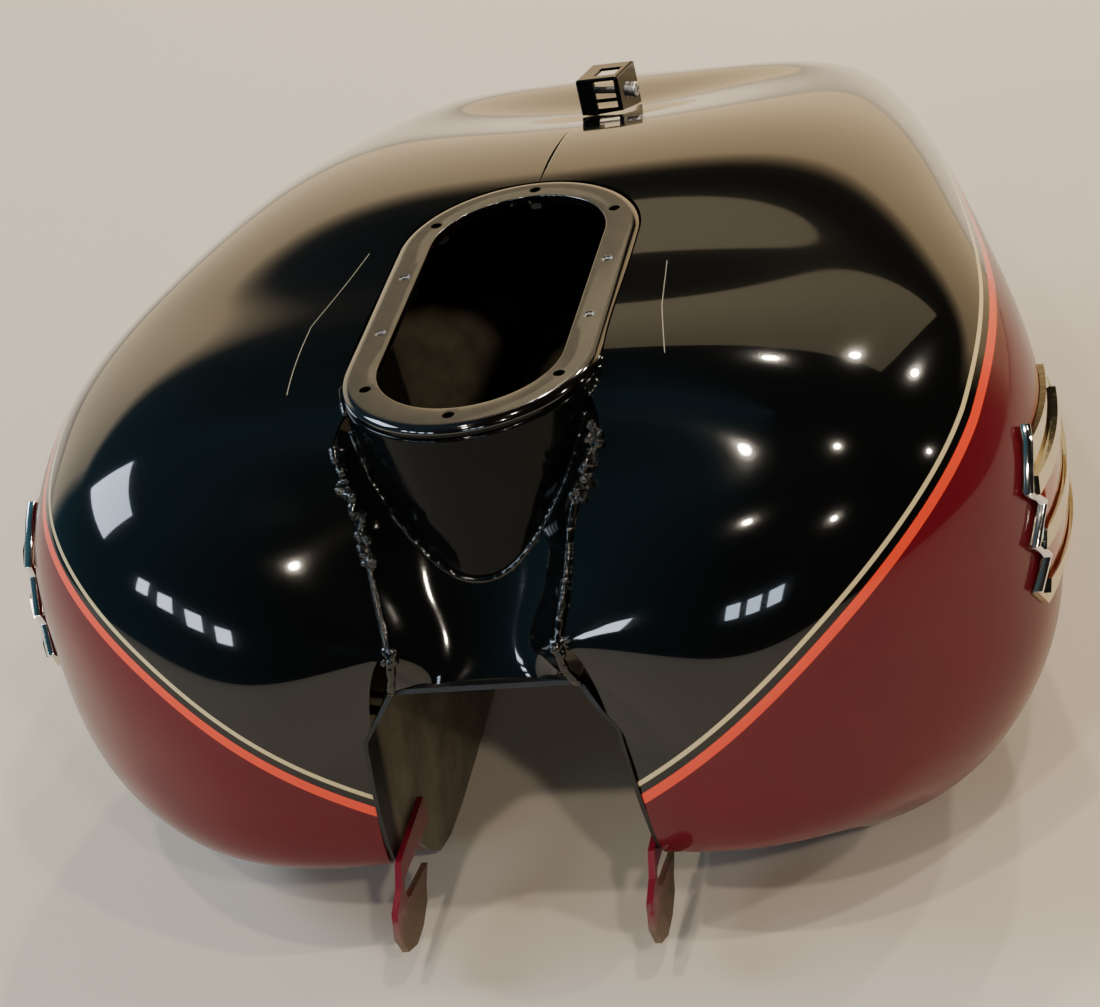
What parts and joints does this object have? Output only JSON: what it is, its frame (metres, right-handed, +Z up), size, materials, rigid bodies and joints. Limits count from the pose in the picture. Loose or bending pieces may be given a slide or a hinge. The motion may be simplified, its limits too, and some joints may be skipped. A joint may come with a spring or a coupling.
{
  "type": "motorcycle fuel tank",
  "caption": "Two-lobed sheet steel fuel tank with a frame tunnel, long oval pump flange, hooked front ears and stepped side badges.",
  "frame": {"origin": "centre of the pump flange, on its top face", "axes": "+X to the tank's right as seen from its front, +Y to the rear, +Z up, square to the flange"},
  "size_m": [0.4828, 0.587, 0.254],
  "materials": {
    "body_paint": "clear-coated black over wine red, with a coach line between",
    "black_paint": "gloss black under clear coat",
    "ear_paint": "wine red paint, worn to bare steel at the hooks",
    "bare_steel": "bare mild steel",
    "bright_zinc": "bright zinc plate",
    "badge_chrome": "polished chrome plate",
    "badge_enamel": "dark red enamel"
  },
  "bodies": {
    "root": {"left_shell": "body_paint", "right_shell": "body_paint", "left_bottom_pan": "body_paint", "right_bottom_pan": "body_paint", "channel_panel": "black_paint", "neck_collar": "black_paint", "pump_flange": "black_paint", "flange_weld_nuts": "bare_steel", "tunnel": "black_paint", "left_seam_weld": "black_paint", "right_seam_weld": "black_paint", "left_mouth_weld": "black_paint", "right_mouth_weld": "black_paint", "left_mount_ear": "ear_paint", "right_mount_ear": "ear_paint", "rear_bracket": "black_paint", "rear_bracket_screw": "bright_zinc", "rear_bracket_nut": "bright_zinc", "left_badge_frame": "badge_chrome", "right_badge_frame": "badge_chrome", "left_badge_inlay": "badge_enamel", "right_badge_inlay": "badge_enamel", "left_badge_studs": "bare_steel", "right_badge_studs": "bare_steel", "left_baffle": "bare_steel", "right_baffle": "bare_steel", "left_crossover_spigot": "bright_zinc", "right_crossover_spigot": "bright_zinc", "vent_tube": "bright_zinc", "rear_mount_plate": "black_paint"}
  },
  "joints": []
}
